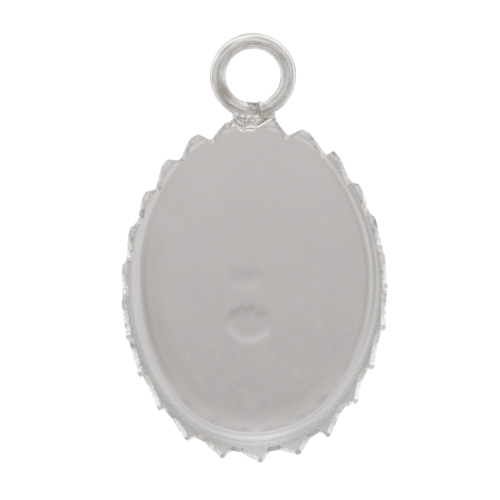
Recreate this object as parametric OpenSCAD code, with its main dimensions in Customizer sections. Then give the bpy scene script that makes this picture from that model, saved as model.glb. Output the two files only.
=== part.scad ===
// Serrated bezel cup for an oval cabochon, with a wire hanging ring soldered
// to one end. The cup lies on its flat back: +Z points out of its mouth and
// +Y points to the ring. The origin is the middle of the back face.

/* [Stone] */
// Width of the oval stone that the cup is made for
stone_w = 13; // [12:1:14]
// Length of the oval stone that the cup is made for
stone_l = 18; // [17:1:20]
// Room between the stone and the wall, all round
stone_clearance = 0.08; // [0.05:0.01:0.15]

/* [Cup] */
// Thickness of the wall
wall_t = 0.3; // [0.25:0.05:0.4]
// Thickness of the floor
floor_t = 0.3; // [0.25:0.05:0.5]
// Radius of the rounded corner inside the cup, between floor and wall
corner_r = 0.75; // [0.4:0.05:0.8]

/* [Teeth] */
// Number of pointed teeth round the rim
tooth_count = 24; // [20:2:28]
// Height of the gaps' flat bottoms above the back face
gap_z = 1.2; // [1.15:0.05:1.6]
// Height of a tooth above the gap beside it
tooth_h = 1.4; // [1:0.1:2]
// Width of the flat bottom of a gap
gap_w = 0.47; // [0.3:0.01:0.6]
// Width of a tooth's blunt tip
tip_w = 0.2; // [0.1:0.05:0.3]
// How far the teeth crowd towards the ring, as a share of their spacing
crowd_ring = 0.13; // [0:0.01:0.2]
// How far the teeth crowd towards both ends of the oval, as a share of their spacing
crowd_ends = 0.08; // [0:0.01:0.1]

/* [Hanging ring] */
// Diameter of the ring's wire
wire_d = 0.8; // [0.7:0.05:0.9]
// Outer diameter of the ring
ring_d = 4.4; // [4:0.1:5]
// How far the ring leans back out of the cup's plane, in degrees
ring_tilt = 12; // [5:1:20]
// Space between the two ends of the ring's wire, filled with solder
ring_gap = 0.6; // [0.3:0.05:0.8]
// Space between the ring and the wall, bridged by solder
ring_clear = 0.11; // [0.02:0.01:0.2]
// Height of the ring's lowest point above the back face
ring_floor_gap = 0.15; // [0.02:0.01:0.2]
// How far the ring stands off the cup's middle line, as it was soldered by hand
ring_shift = 0.12; // [0:0.01:0.2]

/* [Solder] */
// Radius of the hollow at each end of the solder, between ring and wall
solder_hollow_r = 0.37; // [0.3:0.01:0.45]
// Radius of the solder's rounded back and front, seen along its width
solder_round_r = 0.45; // [0.4:0.01:0.5]
// How far the solder reaches into the wall
solder_root = 0.26; // [0.2:0.01:0.28]
// How far the solder between the wire's ends lies below the wire's surface
solder_sink = 0.04; // [0.02:0.01:0.08]
// Height of that solder's flat top above the middle of the wire
solder_flat_h = 0.15; // [0.1:0.01:0.3]

/* [Hidden] */
$fn = 96;

// The inner wall's half width and half length
inner_a = stone_w / 2 + stone_clearance;
inner_b = stone_l / 2 + stone_clearance;
// The oval is four arcs. The line between the centres of two neighbouring
// arcs is the long side of a 3-4-5 triangle, so every centre is a short decimal.
leg_x = 0.8;
leg_y = 0.6;
centre_line = (inner_b - inner_a) / (leg_x + leg_y - 1);
side_centre = leg_x * centre_line;
end_centre = leg_y * centre_line;
side_r = inner_a + side_centre;
end_r = inner_b - end_centre;
// Half the angle of an end arc
end_angle = atan2(side_centre, end_centre);

cup_h = gap_z + tooth_h;
outer_b = inner_b + wall_t;
// How far pieces that are fused reach into each other
overlap = 0.5;
// How far a cutting shape stands out beyond what it cuts
spare = 0.5;

// Arc lengths along the middle of the wall, from the ring end's centre line
mid_end_arc = (end_r + wall_t / 2) * end_angle * PI / 180;
mid_side_arc = (side_r + wall_t / 2) * (90 - end_angle) * PI / 180;
quarter = mid_end_arc + mid_side_arc;
perimeter = 4 * quarter;
pitch = perimeter / tooth_count;

wire_r = wire_d / 2;
ring_r = ring_d / 2 - wire_r;
ring_y = outer_b + ring_clear + wire_r + ring_r * cos(ring_tilt);
ring_z = ring_floor_gap + wire_r + ring_r * sin(ring_tilt);
// Middle of the wire where it is nearest to the cup
near_wire_y = ring_y - ring_r * cos(ring_tilt);
near_wire_z = ring_z + ring_r * sin(ring_tilt);

// Direction of the wall's outward normal, turned from +Y towards -X, at a
// distance s along the middle of the wall
function normal_angle(s) = lookup(s, [
    [0, 0],
    [mid_end_arc, end_angle],
    [2 * quarter - mid_end_arc, 180 - end_angle],
    [2 * quarter + mid_end_arc, 180 + end_angle],
    [perimeter - mid_end_arc, 360 - end_angle],
    [perimeter, 360]
]);

// Centre and mid-wall radius of the arc whose normal has angle a
function arc_at(a) =
    a < end_angle || a > 360 - end_angle ? [0, end_centre, end_r + wall_t / 2] :
    a < 180 - end_angle ? [side_centre, 0, side_r + wall_t / 2] :
    a < 180 + end_angle ? [0, -end_centre, end_r + wall_t / 2] :
    [-side_centre, 0, side_r + wall_t / 2];

// Point on the middle of the wall where the normal has angle a
function wall_point(a) =
    let (arc = arc_at(a))
    [arc[0] - arc[2] * sin(a), arc[1] + arc[2] * cos(a), 0];

// Place of the middle of gap i along the wall, crowded as crowd_ring and crowd_ends say
function gap_place(i) =
    let (f = (i + 0.5) / tooth_count)
    perimeter * f - pitch * (crowd_ring * sin(360 * f) + crowd_ends * sin(720 * f));

// Plan of the cup's inside, moved out by d
module plan(d) {
    for (side = [-1, 1]) {
        translate([0, side * end_centre]) circle(r = end_r + d);
    }
    intersection() {
        translate([-side_centre, 0]) circle(r = side_r + d);
        translate([side_centre, 0]) circle(r = side_r + d);
        // Between the tangent points with the end arcs
        square([2 * side_r, 2 * leg_y * (side_r + d)], center = true);
    }
}

// Wedge that holds one arc of the oval, from the arc's own centre
module arc_wedge(points) {
    translate([0, 0, -spare]) linear_extrude(cup_h + 2 * spare) polygon(points);
}

// Sweeps a profile round the oval: x = 0 in the profile is the inner wall face
module round_the_oval() {
    wedge_x = leg_x * 4 * outer_b;
    wedge_y = leg_y * 4 * outer_b;
    for (turn = [0, 180]) rotate([0, 0, turn]) {
        translate([0, end_centre, 0]) intersection() {
            rotate_extrude() translate([end_r, 0]) children();
            arc_wedge([[0, 0], [wedge_x, wedge_y], [-wedge_x, wedge_y]]);
        }
        translate([-side_centre, 0, 0]) intersection() {
            rotate_extrude() translate([side_r, 0]) children();
            arc_wedge([[0, 0], [wedge_x, wedge_y], [wedge_x, -wedge_y]]);
        }
    }
}

// Wall and rounded corner, cut through
module wall_profile() {
    translate([0, floor_t + corner_r]) square([wall_t, cup_h - floor_t - corner_r]);
    translate([-corner_r, 0]) difference() {
        intersection() {
            translate([0, floor_t + corner_r]) circle(r = wall_t + corner_r);
            square([wall_t + corner_r, floor_t + corner_r]);
        }
        translate([0, floor_t + corner_r]) circle(r = corner_r);
    }
    translate([-corner_r - overlap, 0]) square([overlap, floor_t]);
}

// Gap between two teeth: it widens upwards, so what is left between gaps is a tooth
module tooth_gap() {
    slope = (pitch - tip_w - gap_w) / 2 / tooth_h;
    top_half = gap_w / 2 + slope * (tooth_h + spare);
    rotate([90, 0, 0]) linear_extrude(wall_t + 2 * spare, center = true)
        polygon([
            [-gap_w / 2, gap_z], [gap_w / 2, gap_z],
            [top_half, cup_h + spare], [-top_half, cup_h + spare]
        ]);
}

// Flat floor that the stone rests on
module cup_floor() {
    color("silver") linear_extrude(floor_t) plan(-corner_r);
}

// Drawn wall with its saw-tooth rim
module cup_wall() {
    color("silver") difference() {
        round_the_oval() wall_profile();
        for (i = [0 : tooth_count - 1]) {
            a = normal_angle(gap_place(i));
            translate(wall_point(a)) rotate([0, 0, a]) tooth_gap();
        }
    }
}

// Frame of the ring: its own middle, leaned back
module at_ring() {
    translate([ring_shift, ring_y, ring_z]) rotate([-ring_tilt, 0, 0]) children();
}

module ring_of_wire(r) {
    rotate_extrude() translate([ring_r, 0]) circle(r = r);
}

// Round wire ring, open at the wall
module hanging_ring() {
    color("silver") at_ring() difference() {
        ring_of_wire(wire_r);
        translate([0, -ring_r, 0]) cube([ring_gap, 2 * wire_d, 2 * wire_d], center = true);
    }
}

// Flat solder that fills the space between the wire's ends
module solder_fill() {
    fill_w = ring_gap + wire_r;
    at_ring() intersection() {
        ring_of_wire(wire_r - solder_sink);
        translate([-fill_w / 2, -ring_r - wire_d, -wire_d])
            cube([fill_w, 2 * wire_d, wire_d + solder_flat_h]);
    }
}

// Solder fillet between ring and wall. Its hollow ends are circles that touch
// both the ring's outer edge and the wall's outer face, seen from above.
module solder_fillet() {
    near_y = outer_b - solder_root;
    centres = near_wire_y - wire_r + ring_d / 2 - end_centre;
    to_wall_centre = end_r + wall_t + solder_hollow_r;
    to_ring_centre = ring_d / 2 + solder_hollow_r;
    hollow_y = (centres ^ 2 + to_wall_centre ^ 2 - to_ring_centre ^ 2) / 2 / centres;
    hollow_x = sqrt(to_wall_centre ^ 2 - hollow_y ^ 2);
    translate([ring_shift, 0, 0]) intersection() {
        linear_extrude(cup_h) difference() {
            translate([-hollow_x, near_y]) square([2 * hollow_x, near_wire_y - near_y]);
            for (side = [-1, 1]) {
                translate([side * hollow_x, end_centre + hollow_y]) circle(r = solder_hollow_r);
            }
        }
        translate([0, near_wire_y - wire_r / 2, near_wire_z - wire_r / 8]) rotate([0, 90, 0])
            cylinder(r = solder_round_r, h = 3 * hollow_x, center = true);
    }
}

// Solder that closes the ring and holds it to the wall
module solder_joint() {
    color("lightgray") {
        solder_fill();
        solder_fillet();
    }
}

module setting() {
    cup_floor();
    cup_wall();
    hanging_ring();
    solder_joint();
}

setting();
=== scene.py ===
# Oval cabochon setting in sterling silver: a drawn cup with a saw-tooth rim, and a ring of
# round wire soldered to its end. All sizes are in metres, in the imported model's own frame:
# the cup lies on its flat back, +Z points out of its mouth and +Y points to the ring.

import math
import random

import bmesh
import bpy
from mathutils import Matrix, Vector


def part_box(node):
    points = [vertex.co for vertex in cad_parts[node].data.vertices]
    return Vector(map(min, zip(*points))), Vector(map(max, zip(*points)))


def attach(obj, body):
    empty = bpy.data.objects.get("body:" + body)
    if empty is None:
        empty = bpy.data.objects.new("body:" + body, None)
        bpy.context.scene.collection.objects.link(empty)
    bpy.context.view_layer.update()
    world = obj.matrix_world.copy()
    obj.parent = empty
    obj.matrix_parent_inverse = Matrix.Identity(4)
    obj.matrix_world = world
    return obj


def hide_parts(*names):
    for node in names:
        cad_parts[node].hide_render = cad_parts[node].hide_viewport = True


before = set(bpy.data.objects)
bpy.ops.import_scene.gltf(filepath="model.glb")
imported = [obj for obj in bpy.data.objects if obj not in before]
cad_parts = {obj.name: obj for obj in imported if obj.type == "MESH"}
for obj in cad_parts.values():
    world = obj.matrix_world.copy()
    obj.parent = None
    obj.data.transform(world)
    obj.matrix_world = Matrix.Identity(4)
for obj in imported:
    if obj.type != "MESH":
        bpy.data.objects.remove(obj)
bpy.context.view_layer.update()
low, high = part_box("setting")


# Cup
# Sterling silver sheet, drawn to a shallow oval cup whose wall stands straight up. The rim
# was then cut to 24 blunt teeth with short flat gaps, which are pressed over the stone later.
MM = 0.001
wall_t = 0.3 * MM
floor_t = 0.3 * MM
corner_r = 0.75 * MM
# How far the outside reaches from the cup's middle, to the side and to the end
outer_x, outer_y = high.x, -low.y
cup_h = high.z
gap_z = 1.2 * MM
gap_w = 0.47 * MM
tip_w = 0.2 * MM
tip_r = 0.07 * MM
tooth_h = cup_h - gap_z
tooth_count = 24
# How far the teeth crowd towards the ring and towards both ends, as shares of their spacing
crowd_ring = 0.13
crowd_ends = 0.08

# The oval is four arcs, whose centres make 3-4-5 triangles with the middle of the cup
leg_x, leg_y = 0.8, 0.6
centre_line = (outer_y - outer_x) / (leg_x + leg_y - 1)
side_centre = leg_x * centre_line
end_centre = leg_y * centre_line
end_angle = math.atan2(leg_x, leg_y)
side_angle = math.pi - 2 * end_angle
# The arcs' radii along the middle of the wall
end_mid_r = outer_y - end_centre - wall_t / 2
side_mid_r = outer_x + side_centre - wall_t / 2
perimeter = 4 * end_angle * end_mid_r + 2 * side_angle * side_mid_r
pitch = perimeter / tooth_count

# How near its place a vertex has to be, to be picked by it
near = 0.01 * MM


def select(piece, kind, test):
    """In edit mode, selects the piece's verts, edges or faces whose middle passes the test."""
    bpy.ops.mesh.select_mode(type={"verts": "VERT", "edges": "EDGE", "faces": "FACE"}[kind])
    bpy.ops.mesh.select_all(action="DESELECT")
    edited = bmesh.from_edit_mesh(piece.data)
    for item in getattr(edited, kind):
        points = [item] if kind == "verts" else item.verts
        middle = sum((v.co for v in points), Vector()) / len(points)
        if test(middle):
            item.select_set(True)
    edited.select_flush_mode()
    bmesh.update_edit_mesh(piece.data)


def extrude(x, y, z):
    """Extrudes what is selected by a step."""
    bpy.ops.mesh.extrude_region_move(TRANSFORM_OT_translate={"value": (x, y, z)})


def soft(reach):
    """Settings that make a move fade out smoothly over its reach."""
    return {"use_proportional_edit": True, "proportional_edit_falloff": "SMOOTH",
            "proportional_size": reach}


def pick_up(first, *others):
    """Selects these pieces alone, with the first one active."""
    bpy.ops.object.select_all(action="DESELECT")
    for piece in (first, *others):
        piece.select_set(True)
    bpy.context.view_layer.objects.active = first


def apply_place():
    """Puts the place of the new piece, which is selected, into its mesh."""
    bpy.ops.object.transform_apply(location=True, rotation=True, scale=True)


def modify(piece, kind, **settings):
    """Adds a modifier with its settings, and applies it."""
    modifier = piece.modifiers.new(kind.title(), kind)
    for name, value in settings.items():
        setattr(modifier, name, value)
    pick_up(piece)
    bpy.ops.object.modifier_apply(modifier=modifier.name)


def fade(offset, reach):
    """What is left at an offset from the middle of something that fades out, from 1 down."""
    return math.exp(-(offset / reach) ** 2)


def share(value, start, end):
    """How far a value has come from start to end, from 0 to 1."""
    return max(0, min(1, (value - start) / (end - start)))


# One tooth with half a gap on each side, flat: X runs along the rim, Y points out of the cup.
# It starts as a grid on the inner wall face, above the rounded corner.
columns = 12
rows = 12
wall_low = floor_t + corner_r
inner_y = -wall_t / 2
tooth_base = pitch - gap_w
bpy.ops.object.select_all(action="DESELECT")
bpy.ops.mesh.primitive_grid_add(
    x_subdivisions=columns, y_subdivisions=1, size=1,
    location=(0, inner_y, (wall_low + gap_z) / 2), rotation=(math.pi / 2, 0, 0))
tooth = bpy.context.object
tooth.scale = (tooth_base, gap_z - wall_low, 1)
apply_place()
bpy.ops.object.mode_set(mode="EDIT")
for side in (-1, 1):
    select(tooth, "edges", lambda m: abs(m.x - side * tooth_base / 2) < near)
    for half in range(2):
        extrude(side * gap_w / 4, 0, 0)
select(tooth, "edges", lambda m: m.z > gap_z - near and abs(m.x) < tooth_base / 2)
row_w = tooth_base
for row in range(rows):
    extrude(0, 0, tooth_h / rows)
    next_w = row_w - (tooth_base - tip_w) / rows
    bpy.ops.transform.resize(value=(next_w / row_w, 1, 1), center_override=(0, 0, 0))
    row_w = next_w
select(tooth, "verts", lambda m: m.z > cup_h - near and abs(m.x) > tip_w / 2 - near)
bpy.ops.mesh.bevel(offset=tip_r, segments=3, affect="VERTICES")

# The rounded corner, from the wall inwards, by the turn of its face from level in degrees. It
# meets the floor at a slight crease, where the punch's flat ended. The die left two fine grooves
# round the corner: turn, half width, depth.
crease = 16
corner_turns = (
    82, 74, 67, 62, 58, 56, 54, 52, 50, 46, 42, 38, 35, 33, 31, 29, 27, 24, 20, 17, 16.5, crease)
grooves = ((31, 3, 0.012 * MM), (54, 4, 0.012 * MM))
select(tooth, "edges", lambda m: m.z < wall_low + near)
at_y, at_z = inner_y, wall_low
for turn in corner_turns:
    radius = corner_r + sum(deep * fade(turn - middle, half) for middle, half, deep in grooves)
    next_y = inner_y - corner_r + radius * math.sin(math.radians(turn))
    next_z = wall_low - radius * math.cos(math.radians(turn)) / math.cos(math.radians(crease))
    extrude(0, next_y - at_y, next_z - at_z)
    at_y, at_z = next_y, next_z
# The first of the floor, in steps that grow inwards
for step in (0.01, 0.04, 0.05, 0.05, 0.05, 0.05, 0.1, 0.1, 0.1, 0.1):
    extrude(0, -step * MM, 0)
bpy.ops.object.mode_set(mode="OBJECT")


def gap_place(i):
    """Place along the rim of the gap after tooth i: they crowd towards the ring and the ends."""
    turn = 2 * math.pi * (i + 0.5) / tooth_count
    drift = crowd_ring * math.sin(turn) + crowd_ends * math.sin(2 * turn)
    return perimeter * (i + 0.5) / tooth_count - pitch * drift


# The gaps were cut by eye, and each tooth leans and is dressed down a little differently, by up
# to so many millimetres. The last tooth, behind the ring, was filed shorter and blunter.
gap_off = 0.16
tip_along, tip_in, tip_down = 0.2, 0.07, 0.1
ring_tooth_nudge, ring_tooth_wider = Vector((-0.12, 0, -0.32)), 2.2
tip_h = 0.1 * MM
by_eye = random.Random(892141)
gap_at = [gap_place(i) + by_eye.uniform(-gap_off, gap_off) * MM for i in range(tooth_count)]
gap_at.append(gap_at[0] + perimeter)
hand = random.Random(286116)
strip = []
for i in range(1, tooth_count + 1):
    tooth_at = (gap_at[i] + gap_at[i - 1]) / 2
    pick_up(tooth)
    bpy.ops.object.duplicate()
    copy = bpy.context.object
    copy.scale.x = (gap_at[i] - gap_at[i - 1]) / pitch
    copy.location.x = tooth_at
    apply_place()
    bpy.ops.object.mode_set(mode="EDIT")
    select(copy, "verts", lambda m: m.z > cup_h - tip_h)
    nudge = Vector((
        hand.uniform(-tip_along, tip_along), hand.uniform(-tip_in, 0), hand.uniform(-tip_down, 0)))
    if i == tooth_count:
        nudge = ring_tooth_nudge
    bpy.ops.transform.translate(value=nudge * MM, **soft(tooth_h))
    if i == tooth_count:
        bpy.ops.transform.resize(
            value=(ring_tooth_wider, 1, 1), center_override=(tooth_at + nudge.x * MM, 0, 0),
            **soft(tooth_h))
    bpy.ops.object.mode_set(mode="OBJECT")
    strip.append(copy)
bpy.data.objects.remove(tooth)

# Path of the rim: one vertex spun round the four arcs, and on past its start
bpy.ops.object.select_all(action="DESELECT")
bpy.ops.mesh.primitive_plane_add(size=MM, location=(0, outer_y - wall_t / 2, 0))
rim_path = bpy.context.object
apply_place()
bpy.ops.object.mode_set(mode="EDIT")
bpy.ops.mesh.select_mode(type="VERT")
bpy.ops.mesh.merge(type="CENTER")
for x, y, angle in (
        (0, end_centre, end_angle), (-side_centre, 0, side_angle), (0, -end_centre, 2 * end_angle),
        (side_centre, 0, side_angle), (0, end_centre, 2 * end_angle)):
    bpy.ops.mesh.spin(steps=120, angle=angle, center=(x, y, 0), axis=(0, 0, 1))
bpy.ops.object.mode_set(mode="OBJECT")
bpy.ops.object.convert(target="CURVE")
rim_path = bpy.context.object

# The teeth are joined to one strip and bent round the oval
pick_up(*strip)
bpy.ops.object.join()
cup = bpy.context.object
cup.name = cup.data.name = "bezel_cup"
modify(cup, "CURVE", object=rim_path, deform_axis="POS_X")
bpy.data.objects.remove(rim_path)
bpy.ops.object.mode_set(mode="EDIT")
bpy.ops.mesh.select_all(action="SELECT")
bpy.ops.mesh.remove_doubles(threshold=0.003 * MM)

# The floor's middle fills the hole that the strip leaves
bpy.ops.mesh.select_mode(type="EDGE")
bpy.ops.mesh.select_all(action="DESELECT")
edited_cup = bmesh.from_edit_mesh(cup.data)
for edge in edited_cup.edges:
    edge.select_set(edge.is_boundary and edge.verts[0].co.z < floor_t + near)
bmesh.update_edit_mesh(cup.data)
bpy.ops.mesh.fill_grid(span=80)
bpy.ops.mesh.select_all(action="SELECT")
bpy.ops.mesh.normals_make_consistent(inside=False)

# A mark that was struck into the back shows through as two soft swells: middle, width, length
# and height
swells = (
    (-0.3 * MM, -2.42 * MM, 2.3 * MM, 1.9 * MM, 0.015 * MM),
    (-0.4 * MM, 0.1 * MM, 1.8 * MM, 0.9 * MM, 0.006 * MM))
swell_edge = 0.4 * MM
for x, y, swell_w, swell_l, rise in swells:
    select(cup, "verts", lambda m: m.z < floor_t + near and math.hypot(
        (m.x - x) / ((swell_w - swell_edge) / 2), (m.y - y) / ((swell_l - swell_edge) / 2)) < 1)
    bpy.ops.transform.translate(value=(0, 0, rise), **soft(swell_edge))
bpy.ops.object.mode_set(mode="OBJECT")


def colour(code):
    """Linear colour of an sRGB hex value."""
    shares = [int(code[i:i + 2], 16) / 255 for i in (0, 2, 4)]
    return [*(c / 12.92 if c < 0.04045 else ((c + 0.055) / 1.055) ** 2.4 for c in shares), 1]


def add_node(owner, kind, inputs={}, **settings):
    """Adds a node to a material or the world. Each input is given a value, or a socket to link."""
    node = owner.node_tree.nodes.new("ShaderNode" + kind)
    for name, value in settings.items():
        setattr(node, name, value)
    for name, value in inputs.items():
        if isinstance(value, bpy.types.NodeSocket):
            owner.node_tree.links.new(value, node.inputs[name])
        else:
            node.inputs[name].default_value = value
    return node


def new_material(name):
    """An empty material and its own output node."""
    material = bpy.data.materials.new(name)
    material.use_nodes = True
    material.node_tree.nodes.clear()
    return material, add_node(material, "OutputMaterial")


# Satin sterling silver: a light grey mirror, slightly uneven over 2 mm, and dulled by polishing
# marks that run every way, about 0.8 mm long and 0.15 mm wide, over a grain of 0.12 mm. Painted
# shade darkens it along the corner where the floor meets the wall and in the corner's grooves,
# and the outside is less polished away from the ring.
satin, satin_output = new_material("satin_sterling_silver")
place = add_node(satin, "TexCoord").outputs["Object"]
in_mm = add_node(satin, "Mapping", {"Vector": place, "Scale": (1 / MM, 1 / MM, 1 / MM)})
cloud = add_node(satin, "TexNoise", {"Vector": in_mm.outputs[0], "Scale": 0.5, "Detail": 3})
grain = add_node(satin, "TexNoise", {"Vector": in_mm.outputs[0], "Scale": 8, "Detail": 3})
marks = []
for lay in (35, -50):
    turned = add_node(satin, "Mapping", {
        "Vector": in_mm.outputs[0], "Rotation": (0, 0, math.radians(lay)), "Scale": (1, 0.2, 1)},
        vector_type="TEXTURE")
    marks.append(add_node(
        satin, "TexNoise", {"Vector": turned.outputs[0], "Scale": 1.3, "Detail": 5}))
polish = add_node(
    satin, "Math", {0: marks[0].outputs[0], 1: marks[1].outputs[0]}, operation="MULTIPLY")
relief = add_node(satin, "Math", {
    0: grain.outputs[0], 1: 0.15, 2: polish.outputs[0]}, operation="MULTIPLY_ADD")
bump = add_node(satin, "Bump", {
    "Height": relief.outputs[0], "Strength": 0.5, "Distance": 0.0004 * MM})
tone = add_node(satin, "MapRange", {"Value": cloud.outputs[0], "From Min": 0.3, "From Max": 0.7})
shade = add_node(satin, "Mix", {
    "Factor": tone.outputs[0], 6: colour("EEEEEE"), 7: colour("F2F2F2")}, data_type="RGBA")
# Painted shade: the corner attribute darkens the silver along the corner and its grooves
painted_corner_node = add_node(satin, "Attribute", attribute_name="corner")
shade = add_node(satin, "Mix", {
    "Factor": painted_corner_node.outputs["Fac"], 6: shade.outputs[2], 7: colour("CDCDCB")}, data_type="RGBA")
unpolished = add_node(satin, "Attribute", attribute_name="outside")
shade = add_node(satin, "Mix", {
    "Factor": unpolished.outputs["Fac"], 6: shade.outputs[2], 7: colour("C8C6C4")},
    data_type="RGBA")
dull = add_node(satin, "MapRange", {
    "Value": polish.outputs[0], "From Min": 0.15, "From Max": 0.4, "To Min": 0.22, "To Max": 0.3})
metal = add_node(satin, "BsdfPrincipled", {
    "Base Color": shade.outputs[2], "Metallic": 1.0, "Roughness": dull.outputs[0],
    "Normal": bump.outputs[0]})
satin.node_tree.links.new(metal.outputs[0], satin_output.inputs["Surface"])

# Sheared silver: the cut faces of the rim, torn by the shear every 0.1 mm, with dirt between the
# burrs, and painted shade in patches on them towards the far end from the ring
sheared, sheared_output = new_material("sheared_sterling_silver")
place = add_node(sheared, "TexCoord").outputs["Object"]
in_mm = add_node(sheared, "Mapping", {"Vector": place, "Scale": (1 / MM, 1 / MM, 1 / MM)})
tear = add_node(sheared, "TexNoise", {"Vector": in_mm.outputs[0], "Scale": 9, "Detail": 3})
burrs = add_node(sheared, "TexNoise", {"Vector": in_mm.outputs[0], "Scale": 2.2, "Detail": 5})
bump = add_node(sheared, "Bump", {
    "Height": tear.outputs[0], "Strength": 1.0, "Distance": 0.06 * MM})
dirt = add_node(sheared, "MapRange", {
    "Value": burrs.outputs[0], "From Min": 0.53, "From Max": 0.68})
shade = add_node(sheared, "Mix", {
    "Factor": dirt.outputs[0], 6: colour("FAFAF9"), 7: colour("CECCCC")}, data_type="RGBA")
# Painted shade: the cut faces are darkened in patches towards the far end from the ring
far_end_painted_shade = add_node(sheared, "Attribute", attribute_name="far_end_painted_shade")
patches = add_node(sheared, "MapRange", {
    "Value": burrs.outputs[0], "From Min": 0.3, "From Max": 0.6, "To Min": 0.3, "To Max": 1.0})
painted_shade_amount = add_node(
    sheared, "Math", {0: far_end_painted_shade.outputs["Fac"], 1: patches.outputs[0]}, operation="MULTIPLY")
shade = add_node(sheared, "Mix", {
    "Factor": painted_shade_amount.outputs[0], 6: shade.outputs[2], 7: colour("D6D4D3")}, data_type="RGBA")
metal = add_node(sheared, "BsdfPrincipled", {
    "Base Color": shade.outputs[2], "Metallic": 1.0, "Roughness": 0.32, "Normal": bump.outputs[0]})
sheared.node_tree.links.new(metal.outputs[0], sheared_output.inputs["Surface"])


def from_wall(x, y):
    """Distance of a point of the floor from the inner wall face."""
    x, y = abs(x), abs(y)
    if math.atan2(x, y - end_centre) < end_angle:
        return end_mid_r - wall_t / 2 - math.hypot(x, y - end_centre)
    return side_mid_r - wall_t / 2 - math.hypot(x + side_centre, y)


# Painted shade along the corner, on the floor next to it and in the corner's grooves, in
# millimetres: distance from the wall, half width, the place where it is strongest, how far it
# reaches from there, and its strength
painted_corner_shades = (
    (0.78, 0.14, -5.8, -1.8, 4.5, 0.6), (1.25, 0.45, -5.5, -3, 5, 0.25),
    (0.71, 0.05, 6, 0, 5, 0.6), (0.29, 0.1, 6.3, 0.5, 5, 1), (0.3, 0.25, 5.2, 6, 3.2, 0.4),
    (0.36, 0.04, 0, -8.8, 3.5, 0.6), (0.15, 0.05, 0, -8.9, 3.5, 0.5),
    (0.2, 0.12, -6.3, -0.5, 5, 0.12), (0.3, 0.25, -4.8, -6, 3, 0.12))
# The painted shade is stored on each vertex as the corner attribute
painted_corner_layer = cup.data.attributes.new("corner", "FLOAT", "POINT")
for vertex, amount in zip(cup.data.vertices, painted_corner_layer.data):
    x, y, z = vertex.co / MM
    if z < wall_low / MM:
        inwards = from_wall(x * MM, y * MM) / MM
        amount.value = sum(
            strength * fade(inwards - at, half) * fade(math.hypot(x - at_x, y - at_y), reach)
            for at, half, at_x, at_y, reach, strength in painted_corner_shades)

# Painted shade on the cut rim towards the far end, from here in millimetres from the middle, and
# from there in full
shaded_from, shaded_full = 6.5, 8.0
rim_painted_shade = cup.data.attributes.new("far_end_painted_shade", "FLOAT", "POINT")
for vertex, amount in zip(cup.data.vertices, rim_painted_shade.data):
    amount.value = share(-vertex.co.y / MM, shaded_from, shaded_full)

# The sheet gets its thickness on the outside
cup.data.materials.append(satin)
cup.data.materials.append(sheared)
cup.vertex_groups.new(name="rim")
modify(cup, "SOLIDIFY", thickness=wall_t, offset=1, use_even_offset=True, material_offset_rim=1,
       rim_vertex_group="rim")

# The press left the inside a little dished: the floor rises to its edge by a hair, into the
# corner at the ring's end, and at the far end it levels out again before the corner. The corner
# is a little wider along the left side's middle. The outside gets duller away from the ring.
dish, ring_end_rise = 0.12 * MM, 0.2
sag, sag_from = 0.025 * MM, 0.88
widened, widened_at, widened_reach = 0.16 * MM, -1 * MM, 4 * MM
dull_most, dull_from, dull_full = 0.6, 3, -2
# How far the flat floor reaches from the cup's middle, to the side and to the end
flat_x, flat_y = outer_x - wall_t - corner_r, outer_y - wall_t - corner_r
dullness = cup.data.attributes.new("outside", "FLOAT", "POINT")
for vertex, amount in zip(cup.data.vertices, dullness.data):
    x, y, z = vertex.co
    past_flat = corner_r - from_wall(x, y)
    on_floor = past_flat < 0 and z > floor_t / 2
    in_corner = (past_flat >= 0 and z < wall_low
                 and math.hypot(past_flat, wall_low - z) < corner_r + wall_t / 2)
    if on_floor or in_corner:
        outwards = min(
            1 + ring_end_rise * max(0, y / flat_y), (x / flat_x) ** 2 + (y / flat_y) ** 2)
        near_edge = share(math.sqrt(outwards), sag_from, 1)
        levelled = sag * near_edge ** 2 * (min(0, y) / flat_y) ** 2
        down = (wall_low - z) / (wall_low - floor_t)
        vertex.co.z += (dish * outwards - levelled) * down
        vertex.co.x += (
            widened * down * (min(0, x) / flat_x) ** 2 * fade(y - widened_at, widened_reach))
    elif z < wall_low or past_flat > corner_r + wall_t / 2:
        amount.value = dull_most * share(y / MM, dull_from, dull_full)

# The cut rim is left a little ragged, and every edge is broken
ragged = bpy.data.textures.new("ragged", "CLOUDS")
ragged.noise_scale = 0.2 * MM
modify(cup, "DISPLACE", texture=ragged, strength=0.045 * MM, mid_level=0.75, vertex_group="rim")
modify(cup, "BEVEL", width=0.05 * MM, segments=3, angle_limit=math.radians(50))
bpy.ops.object.shade_smooth_by_angle(angle=math.radians(40))
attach(cup, "root")
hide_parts("setting")


# Hanging ring
# Round sterling silver wire, wound on a rod and cut to a ring. It is soldered to the cup's end
# with its two ends at the wall, a little to the right, and it leans back a little.
wire_r = 0.4 * MM
ring_r = 1.8 * MM
ring_tilt = math.radians(12)
ring_gap = 0.68 * MM
ring_shift = 0.12 * MM
ring_floor_gap = 0.15 * MM
ring_centre = (
    ring_shift, high.y - wire_r - ring_r * math.cos(ring_tilt),
    ring_floor_gap + wire_r + ring_r * math.sin(ring_tilt))
# Half of the turn that the ring's gap takes up
half_gap = ring_gap / 2 / ring_r


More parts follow.
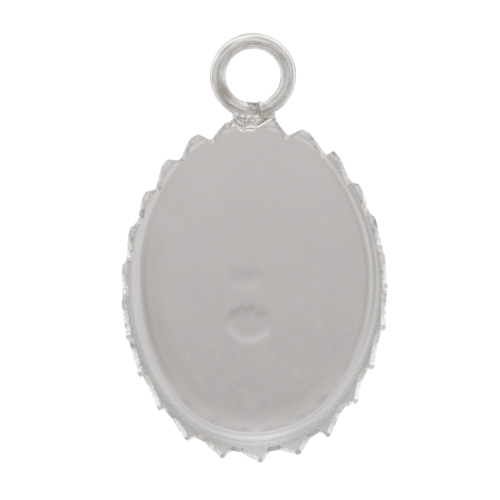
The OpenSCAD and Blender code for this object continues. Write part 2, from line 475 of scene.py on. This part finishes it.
def bend_wire(radius, inwards, sunk, start, turn, steps):
    """Bends a round wire about Z, by a turn from a start that is counted from the cup's side."""
    bpy.ops.object.select_all(action="DESELECT")
    bpy.ops.mesh.primitive_circle_add(
        vertices=32, radius=radius, fill_type="NGON", location=(0, inwards - ring_r, -sunk),
        rotation=(0, math.pi / 2, 0))
    wire = bpy.context.object
    apply_place()
    bpy.ops.object.mode_set(mode="EDIT")
    bpy.ops.mesh.select_all(action="SELECT")
    bpy.ops.transform.rotate(value=start, orient_axis="Z", center_override=(0, 0, 0))
    bpy.ops.mesh.spin(steps=steps, angle=turn, center=(0, 0, 0), axis=(0, 0, 1))
    bpy.ops.mesh.select_all(action="SELECT")
    bpy.ops.mesh.remove_doubles(threshold=0.001 * MM)
    bpy.ops.mesh.normals_make_consistent(inside=False)
    bpy.ops.object.mode_set(mode="OBJECT")
    return wire


def lean_back(wire):
    """Brings a bent wire to the ring's place, leaning back like it."""
    wire.rotation_euler = (-ring_tilt, 0, 0)
    wire.location = ring_centre
    apply_place()


ring = bend_wire(wire_r, 0, 0, half_gap, 2 * math.pi - 2 * half_gap, 180)
ring.name = ring.data.name = "hanging_ring"
modify(ring, "BEVEL", width=0.04 * MM, segments=2, angle_limit=math.radians(50))
lean_back(ring)
bpy.ops.object.shade_smooth_by_angle(angle=math.radians(40))

# The soldering left tarnish on its left and a trace at its far side, in millimetres: middle,
# reach and strength of each patch
tarnish_patches = (
    ((-1.44, 11.17, 1.4), 0.33, 0.9), ((-1.24, 10.92, 1.43), 0.3, 0.65),
    ((-1.02, 10.72, 1.42), 0.28, 0.5), ((-0.27, 13.2, 0.93), 0.22, 0.35))
tarnish = ring.data.attributes.new("tarnished", "FLOAT", "POINT")
for vertex, amount in zip(ring.data.vertices, tarnish.data):
    amount.value = min(1, sum(
        strength * fade((vertex.co / MM - Vector(middle)).length, reach)
        for middle, reach, strength in tarnish_patches))

# Drawn sterling silver wire: it keeps fine lines along its length from the drawing die, drawn
# here about 0.12 mm wide so that they show, and small dents from handling. It is brownish where
# the soldering tarnished it.
drawn, drawn_output = new_material("drawn_sterling_silver_wire")
place = add_node(drawn, "TexCoord").outputs["Object"]
centred = add_node(drawn, "Mapping", {
    "Vector": place, "Location": ring_centre, "Rotation": (-ring_tilt, 0, 0)},
    vector_type="TEXTURE")
in_mm = add_node(drawn, "Mapping", {
    "Vector": centred.outputs[0], "Scale": (1 / MM, 1 / MM, 1 / MM)})
parts = add_node(drawn, "SeparateXYZ", {0: in_mm.outputs[0]})
level = add_node(drawn, "CombineXYZ", {0: parts.outputs[0], 1: parts.outputs[1]})
out = add_node(drawn, "VectorMath", {0: level.outputs[0]}, operation="LENGTH")
around = add_node(drawn, "Math", {0: parts.outputs[0], 1: parts.outputs[1]}, operation="ARCTAN2")
lines_at = add_node(drawn, "CombineXYZ", {
    0: out.outputs["Value"], 1: around.outputs[0], 2: parts.outputs[2]})
stretched = add_node(drawn, "Mapping", {"Vector": lines_at.outputs[0], "Scale": (8, 1.5, 8)})
lines = add_node(drawn, "TexNoise", {"Vector": stretched.outputs[0], "Scale": 1, "Detail": 4})
dents = add_node(drawn, "TexNoise", {"Vector": in_mm.outputs[0], "Scale": 1.6, "Detail": 2})
relief = add_node(drawn, "Math", {0: lines.outputs[0], 1: dents.outputs[0]}, operation="ADD")
bump = add_node(drawn, "Bump", {
    "Height": relief.outputs[0], "Strength": 0.6, "Distance": 0.06 * MM})
worn = add_node(drawn, "MapRange", {"Value": lines.outputs[0], "From Min": 0.35, "From Max": 0.6})
shade = add_node(drawn, "Mix", {
    "Factor": worn.outputs[0], 6: colour("CFCECC"), 7: colour("EEEEED")}, data_type="RGBA")
tarnished = add_node(drawn, "Attribute", attribute_name="tarnished")
shade = add_node(drawn, "Mix", {
    "Factor": tarnished.outputs["Fac"], 6: shade.outputs[2], 7: colour("BDB8B1")},
    data_type="RGBA")
metal = add_node(drawn, "BsdfPrincipled", {
    "Base Color": shade.outputs[2], "Metallic": 1.0, "Roughness": 0.18, "Normal": bump.outputs[0],
    "Specular Tint": colour("9C9C9C")})
drawn.node_tree.links.new(metal.outputs[0], drawn_output.inputs["Surface"])
ring.data.materials.append(drawn)
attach(ring, "root")
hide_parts("setting")


# Solder joint
# Silver solder, run in hot between the wire's two ends and between the ring and the cup, and up
# the tooth behind the ring. It drew both corners to a hollow, and its skin is pitted and rough.

# Middle of the wire where it is nearest to the cup
wire_y = ring_centre[1] - ring_r * math.cos(ring_tilt)
wire_z = ring_centre[2] + ring_r * math.sin(ring_tilt)
# How far the solder reaches into the wall
root_y = outer_y - 0.25 * MM
# The hollows at its two sides, seen from above, touch the wall's outside and the ring's outside.
# Seen from the side, it is round.
hollow_r = 0.37 * MM
round_r = 0.36 * MM
round_y, round_z = wire_y - 0.26 * MM, wire_z - 0.34 * MM
to_wall_centre = outer_y - end_centre + hollow_r
to_ring_centre = ring_r + wire_r + hollow_r
centres = ring_centre[1] - end_centre + ring_r * (1 - math.cos(ring_tilt))
hollow_y = (centres ** 2 + to_wall_centre ** 2 - to_ring_centre ** 2) / 2 / centres
hollow_x = math.sqrt(to_wall_centre ** 2 - hollow_y ** 2)


def cut(piece, tool, how):
    """Cuts a piece with another one, which is used up."""
    modify(piece, "BOOLEAN", object=tool, operation=how, solver="EXACT")
    bpy.data.objects.remove(tool)


# The fillet between ring and cup
bpy.ops.object.select_all(action="DESELECT")
bpy.ops.mesh.primitive_cube_add(
    size=1, location=(ring_shift, (root_y + wire_y) / 2, wire_z),
    scale=(2 * hollow_x, wire_y - root_y, 4 * round_r))
solder = bpy.context.object
solder.name = solder.data.name = "solder_joint"
apply_place()
for side in (-1, 1):
    bpy.ops.mesh.primitive_cylinder_add(
        vertices=64, radius=hollow_r, depth=8 * round_r,
        location=(ring_shift + side * hollow_x, end_centre + hollow_y, wire_z))
    cut(solder, bpy.context.object, "DIFFERENCE")
bpy.ops.mesh.primitive_cylinder_add(
    vertices=64, radius=round_r, depth=4 * hollow_x, rotation=(0, math.pi / 2, 0),
    location=(ring_shift, round_y, round_z))
cut(solder, bpy.context.object, "INTERSECT")

# What ran up the tooth: it gets narrower and thinner upwards
run_low, run_top = 1.0 * MM, 2.15 * MM
run_w, run_out = 1.8 * MM, 0.05 * MM
run_narrows, run_thins = 0.34, 0.8
bpy.ops.object.select_all(action="DESELECT")
bpy.ops.mesh.primitive_cube_add(
    size=1, location=(0, (root_y + outer_y + run_out) / 2, (run_low + run_top) / 2),
    scale=(run_w, outer_y + run_out - root_y, run_top - run_low))
run = bpy.context.object
apply_place()
bpy.ops.object.mode_set(mode="EDIT")
select(run, "faces", lambda m: m.z > run_top - near)
bpy.ops.transform.resize(
    value=(run_narrows, run_thins, 1), center_override=(0, root_y, run_top))
bpy.ops.object.mode_set(mode="OBJECT")

# It crept along the tooth's two edges as thin round runs, and over its tip and beside it as flat
# ones whose upper side is turned to the ring. In millimetres: whether round, and both ends as x,
# distance in from the wall's outside, and height.
creep_runs = (
    (True, (-0.97, 0.26, 1.42), (-0.47, 0.24, 2.3)),
    (True, (0.95, -0.02, 1.35), (0.2, -0.02, 2.36)),
    (False, (-0.36, 0, 2.27), (0.16, 0, 2.29)),
    (False, (-0.37, 0.16, 2.28), (0.07, 0.16, 2.3)),
    (False, (0.5, -0.84, 1.62), (0.86, -1.06, 1.5)),
    (False, (-0.58, -0.4, 1.7), (-0.4, -0.38, 1.7)))
creep_r, creep_w, creep_t = 0.08 * MM, 0.1 * MM, 0.08 * MM
to_ring = math.radians(40)
upper_side = Vector((0, math.sin(to_ring), math.cos(to_ring)))
creeps = []
for is_round, start, end in creep_runs:
    foot, top = (
        Vector((x * MM, outer_y - inwards * MM, z * MM)) for x, inwards, z in (start, end))
    length = (top - foot).length
    way = (top - foot).normalized()
    breadth = upper_side.cross(way).normalized()
    if is_round:
        bpy.ops.mesh.primitive_cylinder_add(vertices=16, radius=creep_r, depth=1)
    else:
        bpy.ops.mesh.primitive_cube_add(size=1)
    creep = bpy.context.object
    creep.location = (foot + top) / 2
    creep.rotation_euler = Matrix((breadth, way.cross(breadth), way)).transposed().to_euler()
    creep.scale = (1, 1, length) if is_round else (creep_w, creep_t, length)
    apply_place()
    creeps.append(creep)

# It lies in a roll in the corner between the ring and the tooth, and pooled at both ends of it,
# in millimetres: middle and half sizes
pools = []
for x, y, z, half_x, half_y, half_z in (
        (0, 9.52, 1.28, 0.85, 0.17, 0.17), (-0.9, 9.36, 1.06, 0.15, 0.12, 0.14),
        (1.1, 9.34, 1.0, 0.2, 0.13, 0.16), (0.66, 9.7, 1.4, 0.3, 0.25, 0.22)):
    bpy.ops.mesh.primitive_uv_sphere_add(
        segments=32, ring_count=16, radius=MM, location=(x * MM, y * MM, z * MM),
        scale=(half_x, half_y, half_z))
    apply_place()
    pools.append(bpy.context.object)

# What filled the wire's gap, and a skin on each of its ends: from and to in half gaps to the
# right, and in millimetres the radius, and how far it lies below the middle of the wire and in
# from it
lumps = []
for start, end, lump_r, sunk, inwards in (
        (-1.3, 1.3, 0.41, 0, 0.07), (0.95, 2.9, 0.42, 0.01, 0), (-2.7, -1.05, 0.43, 0.05, -0.08)):
    lump = bend_wire(
        lump_r * MM, inwards * MM, sunk * MM, -start * half_gap, -(end - start) * half_gap, 12)
    lean_back(lump)
    lumps.append(lump)

# The filling's flat top
fill = lumps[0]
fill_top = wire_z + 0.02 * MM
pick_up(fill)
bpy.ops.object.mode_set(mode="EDIT")
bpy.ops.mesh.select_all(action="SELECT")
bpy.ops.mesh.bisect(
    plane_co=(0, 0, fill_top), plane_no=(0, 0, 1), use_fill=True, clear_outer=True)
bpy.ops.object.mode_set(mode="OBJECT")

# All of it ran together. Its skin is pitted, less on the tooth, and not on the filling.
pick_up(solder, run, *lumps, *pools)
bpy.ops.object.join()
modify(solder, "REMESH", mode="VOXEL", voxel_size=0.025 * MM)
modify(solder, "SMOOTH", factor=0.5, iterations=6)
filling_y, rough_on_tooth = wire_y - 0.38 * MM, 0.35
pitted = bpy.data.textures.new("pitted", "CLOUDS")
pitted.noise_scale = 0.16 * MM
pitted.noise_depth = 3
rough = solder.vertex_groups.new(name="rough")
for vertex in solder.data.vertices:
    x, y, z = vertex.co
    if y < filling_y or abs(x - ring_shift) > ring_gap / 2:
        rough.add([vertex.index], 1 if z < gap_z else rough_on_tooth, "REPLACE")
modify(solder, "DISPLACE", texture=pitted, strength=0.08 * MM, mid_level=0.55,
       vertex_group="rough")
pick_up(solder, *creeps)
bpy.ops.object.join()

# Burnt flux lies on its right side
flux_at = Vector((ring_shift + 0.7 * MM, wire_y, wire_z + 0.3 * MM))
flux_reach = 0.45 * MM
burnt_flux = solder.data.attributes.new("burnt", "FLOAT", "POINT")
for vertex, amount in zip(solder.data.vertices, burnt_flux.data):
    amount.value = fade((vertex.co - flux_at).length, flux_reach)
bpy.ops.object.shade_smooth_by_angle(angle=math.radians(60))

# Silver solder: a little yellower than the silver, shiny where it ran, with pits of 0.14 mm and
# blots of flux twice as large in its skin, and brownish where the flux burnt
brazed, brazed_output = new_material("silver_solder")
place = add_node(brazed, "TexCoord").outputs["Object"]
in_mm = add_node(brazed, "Mapping", {"Vector": place, "Scale": (1 / MM, 1 / MM, 1 / MM)})
pits = add_node(brazed, "TexNoise", {"Vector": in_mm.outputs[0], "Scale": 7, "Detail": 4})
blots = add_node(brazed, "TexNoise", {"Vector": in_mm.outputs[0], "Scale": 3.5, "Detail": 3})
bump = add_node(brazed, "Bump", {
    "Height": pits.outputs[0], "Strength": 0.7, "Distance": 0.03 * MM})
flux = add_node(brazed, "MapRange", {
    "Value": blots.outputs[0], "From Min": 0.48, "From Max": 0.64})
shade = add_node(brazed, "Mix", {
    "Factor": flux.outputs[0], 6: colour("F6F5F4"), 7: colour("D2D0CC")}, data_type="RGBA")
burnt = add_node(brazed, "Attribute", attribute_name="burnt")
shade = add_node(brazed, "Mix", {
    "Factor": burnt.outputs["Fac"], 6: shade.outputs[2], 7: colour("CCC8C0")}, data_type="RGBA")
metal = add_node(brazed, "BsdfPrincipled", {
    "Base Color": shade.outputs[2], "Metallic": 1.0, "Roughness": 0.15, "Normal": bump.outputs[0]})
brazed.node_tree.links.new(metal.outputs[0], brazed_output.inputs["Surface"])
solder.data.materials.append(brazed)
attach(solder, "root")
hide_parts("setting")


# Floor and light
# A white paper sheet, a hair under the cup so that the two faces don't coincide, in a white tent
# that is brighter on the ring's side than on the other.
bpy.ops.object.select_all(action="DESELECT")
bpy.ops.mesh.primitive_plane_add(size=1.2, location=(0, 0, -0.002 * MM))
paper = bpy.context.object
paper.name = paper.data.name = "paper"

# White paper: matt, with faint fibres of 0.4 mm. It glows a little, so that the photo's strongly
# lit sheet comes out as white as there.
white, white_output = new_material("white_paper")
place = add_node(white, "TexCoord").outputs["Object"]
fibres = add_node(white, "TexNoise", {"Vector": place, "Scale": 2500, "Detail": 3})
bump = add_node(white, "Bump", {
    "Height": fibres.outputs[0], "Strength": 0.1, "Distance": 0.02 * MM})
sheet = add_node(white, "BsdfPrincipled", {
    "Base Color": colour("FFFFFF"), "Roughness": 0.9, "Emission Color": colour("FFFFFF"),
    "Emission Strength": 0.52, "Normal": bump.outputs[0]})
white.node_tree.links.new(sheet.outputs[0], white_output.inputs["Surface"])
paper.data.materials.append(white)

# The tent's light by its side, from the far end (-1) to the ring's (1), with a dark gap between
# two sheets. Its side panels are greyer, and it is a little brighter low down.
tent = bpy.data.worlds.new("light_tent")
bpy.context.scene.world = tent
tent.use_nodes = True
tent.node_tree.nodes.clear()
towards = add_node(tent, "SeparateXYZ", {0: add_node(tent, "TexCoord").outputs["Generated"]})
along = add_node(tent, "MapRange", {
    "Value": towards.outputs[1], "From Min": -1.0, "From Max": 1.0})
by_side = add_node(tent, "ValToRGB", {"Fac": along.outputs[0]})
ramp = by_side.color_ramp.elements
ramp[0].color, ramp[1].color = colour("C6C3C1"), colour("EAE9E8")
for side, light in ((-0.48, "E8E3E2"), (-0.29, "7B7675"), (-0.05, "CBC8C6"), (0.36, "EEEDEB")):
    ramp.new((side + 1) / 2).color = colour(light)
across = add_node(tent, "Math", {0: towards.outputs[0], 1: 2}, operation="POWER")
panels = add_node(tent, "MapRange", {"Value": across.outputs[0], "From Min": 0, "From Max": 0.25})
both = add_node(tent, "Mix", {
    "Factor": panels.outputs[0], 6: by_side.outputs[0], 7: colour("D3D1D0")}, data_type="RGBA")
low_down = add_node(tent, "Math", {
    0: towards.outputs[2], 1: -0.14, 2: 1.14}, operation="MULTIPLY_ADD")
sky = add_node(tent, "Background", {"Color": both.outputs[2], "Strength": low_down.outputs[0]})
tent.node_tree.links.new(sky.outputs[0], add_node(tent, "OutputWorld").inputs["Surface"])


# Camera
# It stands 300 mm off, about 23 degrees from straight above, on the ring's side and a little to
# the left. The picture is 500 pixels wide, and its middle is aim_x and aim_y pixels from the
# cup's middle.
distance = 300 * MM
pixels = 500
pixels_per_mm = 19.30
aim_x, aim_y = -3.14, 28.99
from_top, lean, roll = math.radians(22.99), math.radians(-2.21), math.radians(0.9)
back = Vector((
    math.sin(lean) * math.cos(from_top), math.sin(from_top), math.cos(lean) * math.cos(from_top)))
level_right = Vector((math.cos(lean), 0, -math.sin(lean)))
right = level_right * math.cos(roll) - back.cross(level_right) * math.sin(roll)
up = back.cross(right)
aim = (right * aim_x + up * aim_y) / pixels_per_mm * MM
bpy.ops.object.camera_add(
    location=aim + back * distance, rotation=Matrix((right, up, back)).transposed().to_euler())
camera = bpy.context.object
camera.data.lens = camera.data.sensor_width * distance * pixels_per_mm / pixels / MM
camera.data.clip_start = 10 * MM
bpy.context.scene.camera = camera
bpy.context.scene.view_settings.view_transform = "Standard"
